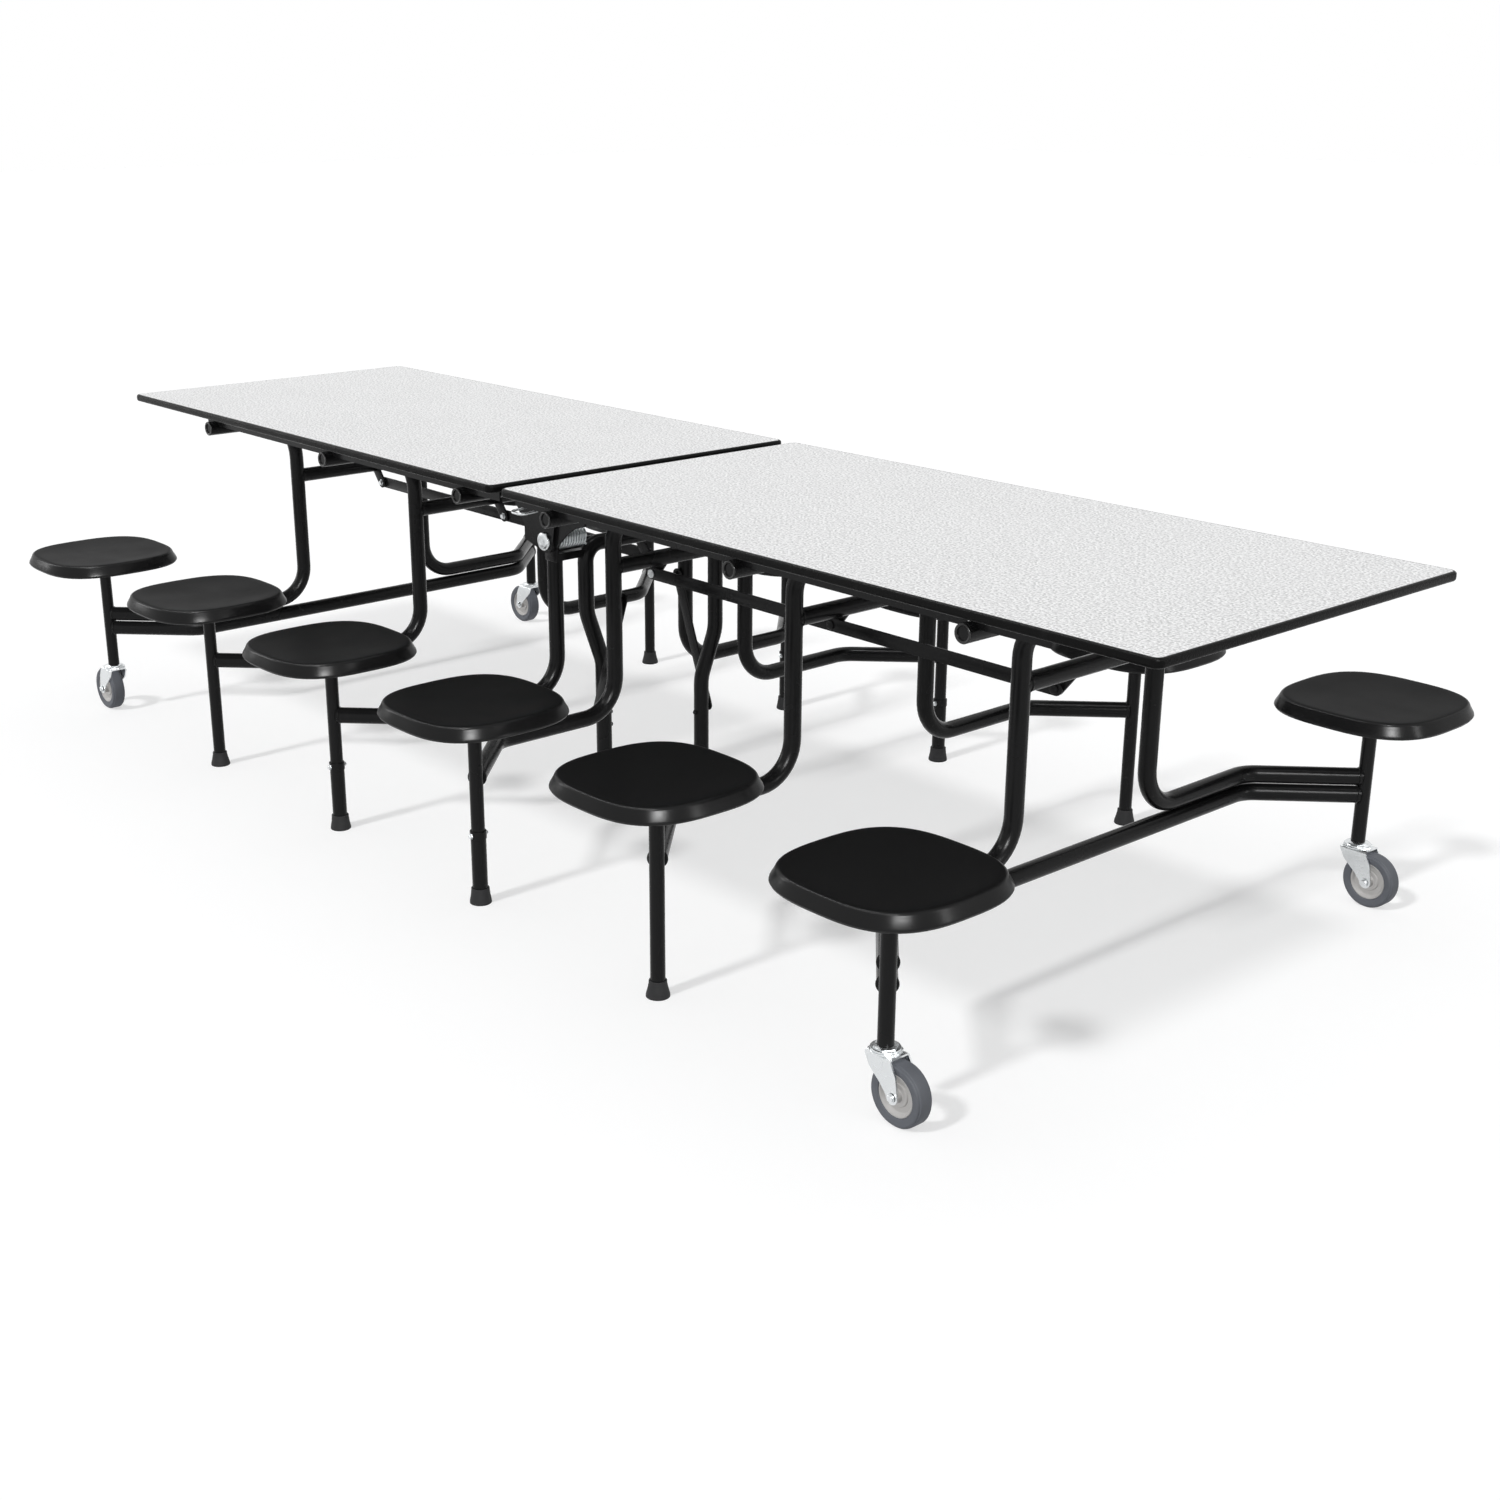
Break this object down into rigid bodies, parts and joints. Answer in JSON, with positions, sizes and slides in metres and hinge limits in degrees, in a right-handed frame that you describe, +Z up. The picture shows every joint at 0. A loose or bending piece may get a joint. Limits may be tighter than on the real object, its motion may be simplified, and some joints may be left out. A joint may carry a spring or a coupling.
{
  "type": "folding cafeteria table with attached stools",
  "caption": "Long mobile folding table: two white tops on black tube frames with attached stools, rubber feet and swivel casters, hinged in the middle to fold upright.",
  "frame": {"origin": "on the floor under the middle of the open table", "axes": "+X along the table towards the right half, -Y the side nearest the picture, +Z up"},
  "size_m": [3.073, 1.533, 0.704],
  "materials": {
    "laminate": "white high-pressure laminate, fine pebbled",
    "edge_band": "satin black bullnose",
    "powder_coat": "satin black powder coat",
    "seat_plastic": "satin black moulded plastic",
    "boot_rubber": "matt black rubber",
    "zinc": "bright zinc plate",
    "tyre": "slate grey non-marking rubber",
    "hub": "light grey nylon"
  },
  "bodies": {
    "frame_l_inner": {"frame_l_inner": "powder_coat", "seat_l_inner_n": "seat_plastic", "seat_l_inner_f": "seat_plastic", "boot_l_inner_n": "boot_rubber", "boot_l_inner_f": "boot_rubber"},
    "frame_l_mid": {"frame_l_mid": "powder_coat", "seat_l_mid_n": "seat_plastic", "seat_l_mid_f": "seat_plastic", "boot_l_mid_n": "boot_rubber", "boot_l_mid_f": "boot_rubber"},
    "frame_l_end": {"frame_l_end": "powder_coat", "seat_l_end_n": "seat_plastic", "seat_l_end_f": "seat_plastic"},
    "caster_l_n": {"fork_l_n": "zinc"},
    "wheel_l_n": {"tyre_l_n": "tyre", "hub_l_n": "hub"},
    "caster_l_f": {"fork_l_f": "zinc"},
    "wheel_l_f": {"tyre_l_f": "tyre", "hub_l_f": "hub"},
    "frame_r_inner": {"frame_r_inner": "powder_coat", "seat_r_inner_n": "seat_plastic", "seat_r_inner_f": "seat_plastic", "boot_r_inner_n": "boot_rubber", "boot_r_inner_f": "boot_rubber"},
    "frame_r_mid": {"frame_r_mid": "powder_coat", "seat_r_mid_n": "seat_plastic", "seat_r_mid_f": "seat_plastic", "boot_r_mid_n": "boot_rubber", "boot_r_mid_f": "boot_rubber"},
    "frame_r_end": {"frame_r_end": "powder_coat", "seat_r_end_n": "seat_plastic", "seat_r_end_f": "seat_plastic"},
    "caster_r_n": {"fork_r_n": "zinc"},
    "wheel_r_n": {"tyre_r_n": "tyre", "hub_r_n": "hub"},
    "caster_r_f": {"fork_r_f": "zinc"},
    "wheel_r_f": {"tyre_r_f": "tyre", "hub_r_f": "hub"},
    "top_left": {"top_left": "laminate", "band_left": "edge_band", "chassis_left": "powder_coat", "pin_n": "zinc", "pin_f": "zinc"},
    "top_right": {"top_right": "laminate", "band_right": "edge_band", "chassis_right": "powder_coat"},
    "middle_legs": {"middle_legs": "powder_coat", "boot_middle_n": "boot_rubber", "boot_middle_f": "boot_rubber", "spring_n": "zinc", "spring_f": "zinc"},
    "link_left": {"link_left": "powder_coat"},
    "link_right": {"link_right": "powder_coat"},
    "brace_n": {"brace_n": "powder_coat"},
    "brace_f": {"brace_f": "powder_coat"},
    "bail": {"bail": "zinc"}
  },
  "joints": [
    {"name": "fold", "type": "hinge", "parent": "frame_l_end", "child": "top_left", "pos_m": [-1.179, 0, 0.663], "axis": [0, -1, 0], "range_deg": [0, 86]},
    {"name": "frame_l_mid_pivot", "type": "hinge", "parent": "top_left", "child": "frame_l_mid", "pos_m": [-0.66, 0, 0.663], "axis": [0, -1, 0], "range_deg": [-86, 0]},
    {"name": "frame_l_inner_pivot", "type": "hinge", "parent": "top_left", "child": "frame_l_inner", "pos_m": [-0.146, 0, 0.663], "axis": [0, -1, 0], "range_deg": [-86, 0]},
    {"name": "middle_legs_pivot", "type": "hinge", "parent": "top_left", "child": "middle_legs", "pos_m": [0, 0, 0.583], "axis": [0, -1, 0], "range_deg": [-86, 0]},
    {"name": "middle_hinge", "type": "hinge", "parent": "top_left", "child": "top_right", "pos_m": [0, 0, 0.583], "axis": [0, -1, 0], "range_deg": [-172, 0]},
    {"name": "frame_r_inner_pivot", "type": "hinge", "parent": "top_right", "child": "frame_r_inner", "pos_m": [0.146, 0, 0.663], "axis": [0, -1, 0], "range_deg": [0, 86]},
    {"name": "frame_r_mid_pivot", "type": "hinge", "parent": "top_right", "child": "frame_r_mid", "pos_m": [0.66, 0, 0.663], "axis": [0, -1, 0], "range_deg": [0, 86]},
    {"name": "frame_r_end_pivot", "type": "hinge", "parent": "top_right", "child": "frame_r_end", "pos_m": [1.179, 0, 0.663], "axis": [0, -1, 0], "range_deg": [0, 86]},
    {"name": "link_left_pivot", "type": "hinge", "parent": "frame_l_end", "child": "link_left", "pos_m": [-1.097, 0.048, 0.496], "axis": [0, -1, 0], "range_deg": [0, 86]},
    {"name": "link_right_pivot", "type": "hinge", "parent": "frame_r_inner", "child": "link_right", "pos_m": [0.064, -0.048, 0.496], "axis": [0, -1, 0], "range_deg": [-86, 0]},
    {"name": "brace_n_pivot", "type": "hinge", "parent": "frame_r_inner", "child": "brace_n", "pos_m": [0.096, -0.1495, 0.466], "axis": [0, -1, 0], "range_deg": [0, 21]},
    {"name": "brace_f_pivot", "type": "hinge", "parent": "frame_l_inner", "child": "brace_f", "pos_m": [-0.096, 0.1495, 0.433], "axis": [0, -1, 0], "range_deg": [-21, 0]},
    {"name": "swivel_l_n", "type": "hinge", "parent": "frame_l_end", "child": "caster_l_n", "pos_m": [-1.282, -0.612, 0.116], "axis": [0, 0, 1], "continuous": true},
    {"name": "spin_l_n", "type": "hinge", "parent": "caster_l_n", "child": "wheel_l_n", "pos_m": [-1.316, -0.612, 0.05], "axis": [0, 1, 0], "continuous": true},
    {"name": "swivel_l_f", "type": "hinge", "parent": "frame_l_end", "child": "caster_l_f", "pos_m": [-1.282, 0.612, 0.116], "axis": [0, 0, 1], "continuous": true},
    {"name": "spin_l_f", "type": "hinge", "parent": "caster_l_f", "child": "wheel_l_f", "pos_m": [-1.316, 0.612, 0.05], "axis": [0, 1, 0], "continuous": true},
    {"name": "swivel_r_n", "type": "hinge", "parent": "frame_r_end", "child": "caster_r_n", "pos_m": [1.282, -0.612, 0.116], "axis": [0, 0, 1], "continuous": true},
    {"name": "spin_r_n", "type": "hinge", "parent": "caster_r_n", "child": "wheel_r_n", "pos_m": [1.316, -0.612, 0.05], "axis": [0, 1, 0], "continuous": true},
    {"name": "swivel_r_f", "type": "hinge", "parent": "frame_r_end", "child": "caster_r_f", "pos_m": [1.282, 0.612, 0.116], "axis": [0, 0, 1], "continuous": true},
    {"name": "spin_r_f", "type": "hinge", "parent": "caster_r_f", "child": "wheel_r_f", "pos_m": [1.316, 0.612, 0.05], "axis": [0, 1, 0], "continuous": true},
    {"name": "bail_pivot", "type": "hinge", "parent": "top_left", "child": "bail", "pos_m": [0.014, -0.274, 0.655], "axis": [1, 0, 0], "range_deg": [0, 35]}
  ],
  "couplings": [
    {"joint": "frame_l_mid_pivot", "follows": "fold", "ratio": -1},
    {"joint": "frame_l_inner_pivot", "follows": "fold", "ratio": -1},
    {"joint": "middle_legs_pivot", "follows": "fold", "ratio": -1},
    {"joint": "middle_hinge", "follows": "fold", "ratio": -2},
    {"joint": "frame_r_inner_pivot", "follows": "fold", "ratio": 1},
    {"joint": "frame_r_mid_pivot", "follows": "fold", "ratio": 1},
    {"joint": "frame_r_end_pivot", "follows": "fold", "ratio": 1},
    {"joint": "link_left_pivot", "follows": "fold", "ratio": 1},
    {"joint": "link_right_pivot", "follows": "fold", "ratio": -1},
    {"joint": "brace_n_pivot", "follows": "fold", "ratio": 0.24},
    {"joint": "brace_f_pivot", "follows": "fold", "ratio": -0.24}
  ]
}
